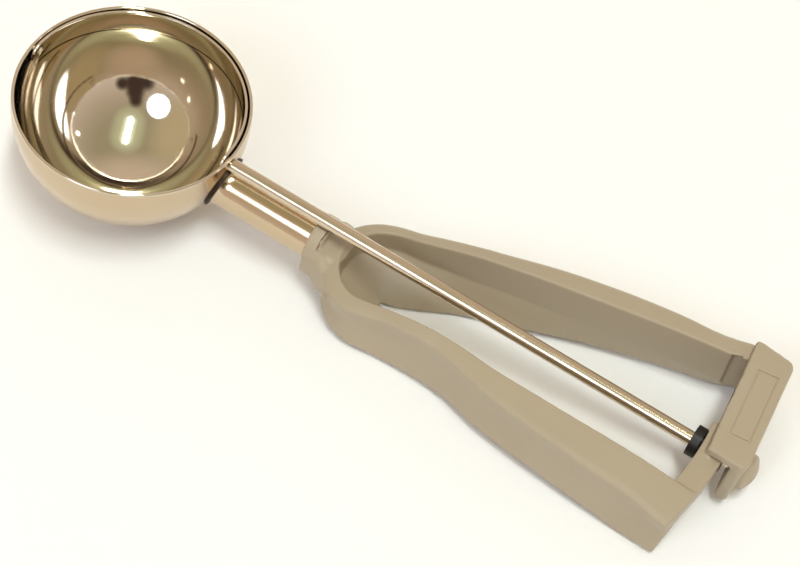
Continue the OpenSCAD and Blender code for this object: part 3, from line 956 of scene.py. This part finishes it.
in_yoke = to_row @ Matrix.Translation((YOKE_X, 0, 0)) @ Matrix.Rotation(YOKE_TURN, 4, "Z")
cutter = bmesh.new()
levels = [
    [cutter.verts.new(in_yoke @ Vector((u, v, z))) for u, v in panel_corners(inset)]
    for z in (PLATE_TOP - PANEL_DEPTH, PLATE_TOP + 1)
    for inset in (0, PANEL_LINE)
]
for i in range(4):
    j = (i + 1) % 4
    for one, two in ((0, 1), (2, 3), (0, 2), (1, 3)):
        cutter.faces.new((levels[one][i], levels[one][j], levels[two][j], levels[two][i]))
bmesh.ops.recalc_face_normals(cutter, faces=cutter.faces)
mesh = bpy.data.meshes.new("panel_cutter")
cutter.to_mesh(mesh)
cutter.free()
cut_out(yoke, mesh)
yoke.data.set_sharp_from_angle(angle=math.radians(35))

# ---------------------------------------------------------------------------------------------------------
# Rack. Seven teeth under the crossbar, which turn the pinion. They are moulded with the near arm, of the
# same plastic, and stand on an arc about the hinge so that they stay in mesh.
MODULE = 0.75
PITCH = math.pi * MODULE
PINION_PITCH_R = 3.75
PINION_X = 190.9
PINION_L = 7.8
RACK_TIP = PINION_PITCH_R - 0.75 * MODULE
RACK_ROOT = BAR_BOTTOM + 0.3
RACK_X = 191.9
RACK_L = 5.8
RACK_ARM = PINION_X + PINION_L / 2 - HINGE[0]
RACK_TEETH = 7

verts, faces = [], []
for k in range(RACK_TEETH):
    turn = Matrix.Translation(HINGE) @ Matrix.Rotation(-k * PITCH / RACK_ARM, 4, "Z")
    base = len(verts)
    for x in (RACK_X, RACK_X + RACK_L):
        # a tooth's flanks, as shares of the pitch either side of its middle
        for share, z in ((-0.3, RACK_ROOT), (-0.1, RACK_TIP), (0.1, RACK_TIP), (0.3, RACK_ROOT)):
            y = share * PITCH
            verts.append(turn @ Vector((x - HINGE[0], -HINGE[1] + y, z)))
    faces += [(base, base + 1, base + 2, base + 3), (base + 7, base + 6, base + 5, base + 4)]
    faces += [(base + i, base + 4 + i, base + 4 + (i + 1) % 4, base + (i + 1) % 4) for i in range(4)]
rack = put("rack_teeth", verts, faces, grey_plastic, "lever")
face_outward(rack.data)
rack.data.set_sharp_from_angle(angle=math.radians(30))

# ---------------------------------------------------------------------------------------------------------
# Floor, light and room. A white sweep, one round soft light above the near side, and a room that the steel
# mirrors: a dull tan ceiling, pale walls, a dark figure at the near right and a bright ceiling lamp.

# Paper, uncoated: an even near white without a sheen.
floor_material, tree, shader = begin_material("pale_paper")
shader.inputs["Base Color"].default_value = linear("#fafcff")
shader.inputs["Roughness"].default_value = 0.9
FLOOR_REACH = 3.0
corners = [(x * FLOOR_REACH, y * FLOOR_REACH, 0) for x, y in ((-1, -1), (1, -1), (1, 1), (-1, 1))]
mesh = bpy.data.meshes.new("floor")
mesh.from_pydata(corners, [], [(0, 1, 2, 3)])
mesh.materials.append(floor_material)
floor = bpy.data.objects.new("floor", mesh)
scene.collection.objects.link(floor)

KEY_WAY = Vector((-0.043, -0.722, 0.69))
KEY_DISTANCE = 1.8
key_data = bpy.data.lights.new("key", "AREA")
key_data.shape = "DISK"
key_data.size = 0.74
key_data.energy = 7.0
key_data.color = linear("#dfeaff")[:3]
key = bpy.data.objects.new("key", key_data)
key.location = KEY_WAY * KEY_DISTANCE
key.rotation_mode = "QUATERNION"
key.rotation_quaternion = (-KEY_WAY).to_track_quat("-Z", "Y")
scene.collection.objects.link(key)

world = bpy.data.worlds.new("room")
scene.world = world
world.use_nodes = True
tree = world.node_tree
tree.nodes.clear()
way = add(tree, "ShaderNodeTexCoord").outputs["Generated"]
height = add(tree, "ShaderNodeSeparateXYZ", {0: way}).outputs["Z"]
ramp = add(tree, "ShaderNodeValToRGB", {"Fac": height})
stops = ramp.color_ramp.elements
stops[0].color = (0.80, 0.72, 0.63, 1)
stops[1].color = (0.41, 0.365, 0.23, 1)
for position, shade in (
    (0.22, (0.77, 0.66, 0.57, 1)),
    (0.55, (0.57, 0.475, 0.37, 1)),
    (0.8, (0.43, 0.375, 0.255, 1)),
):
    stops.new(position).color = shade


def patch(colour, centre, inner, outer, shade, along=None, length=0.0):
    """Mixes a shade into the room within a cone about a direction, soft from inner to outer angle, in
    degrees. With along, the cone is drawn out by length degrees either way in that direction."""
    middle = Vector(centre).normalized()
    toward = way
    if along:
        side = (Vector(along) - middle * middle.dot(Vector(along))).normalized()
        reach = math.tan(math.radians(length))
        share = add(tree, "ShaderNodeVectorMath", {0: way, 1: side}, operation="DOT_PRODUCT")
        share = share.outputs["Value"]
        share = add(tree, "ShaderNodeMath", {0: share, 1: -reach}, operation="MAXIMUM").outputs[0]
        share = add(tree, "ShaderNodeMath", {0: share, 1: reach}, operation="MINIMUM").outputs[0]
        slide = add(tree, "ShaderNodeVectorMath", {0: side, "Scale": share}, operation="SCALE").outputs[0]
        toward = add(tree, "ShaderNodeVectorMath", {0: way, 1: slide}, operation="SUBTRACT").outputs[0]
        toward = add(tree, "ShaderNodeVectorMath", {0: toward}, operation="NORMALIZE").outputs[0]
    spread = add(tree, "ShaderNodeVectorMath", {0: toward, 1: middle}, operation="DOT_PRODUCT")
    edges = {"From Min": math.cos(math.radians(outer)), "From Max": math.cos(math.radians(inner))}
    mask = add(
        tree,
        "ShaderNodeMapRange",
        {"Value": spread.outputs["Value"], **edges},
        interpolation_type="SMOOTHSTEP",
    ).outputs[0]
    return add(tree, "ShaderNodeMix", {"Factor": mask, 6: colour, 7: shade}, data_type="RGBA").outputs[2]


LAMP = (0.27, -0.18, 0.944)
LAMP_ALONG = (0.342, -0.374, 0.862)
colour = ramp.outputs["Color"]
# two paler walls, one warmer
colour = patch(colour, (-0.55, -0.45, 0.70), 5, 40, (0.59, 0.49, 0.31, 1))
colour = patch(colour, (-0.36, 0.60, 0.714), 5, 45, (0.71, 0.57, 0.45, 1))
# the long ceiling lamp: its wide glow, its close glow and its tube
colour = patch(colour, LAMP, 1, 20, (0.63, 0.64, 0.43, 1), LAMP_ALONG, 8)
colour = patch(colour, LAMP, 2, 8, (1.12, 1.20, 0.84, 1), LAMP_ALONG, 9)
colour = patch(colour, LAMP, 0.8, 3.2, (40, 41.5, 40, 1), LAMP_ALONG, 11)
# two small lamps
colour = patch(colour, (0.865, 0.33, 0.37), 1, 2.5, (9, 9, 8.4, 1))
colour = patch(colour, (0.67, 0.48, 0.56), 1, 2.5, (7, 7, 6.4, 1))
# the dark figure, from its shoulders to its head
for centre, inner, outer in (
    ((0.66, -0.62, 0.40), 2, 9),
    ((0.50, -0.76, 0.40), 5, 12),
    ((0.33, -0.85, 0.39), 2, 11),
    ((0.46, -0.70, 0.54), 4, 12),
    ((0.40, -0.62, 0.67), 1, 9),
):
    colour = patch(colour, centre, inner, outer, (0.07, 0.045, 0.035, 1))
background = add(tree, "ShaderNodeBackground", {"Color": colour, "Strength": 1.0})
add(tree, "ShaderNodeOutputWorld", {"Surface": background.outputs[0]})
scene.view_settings.view_transform = "Standard"
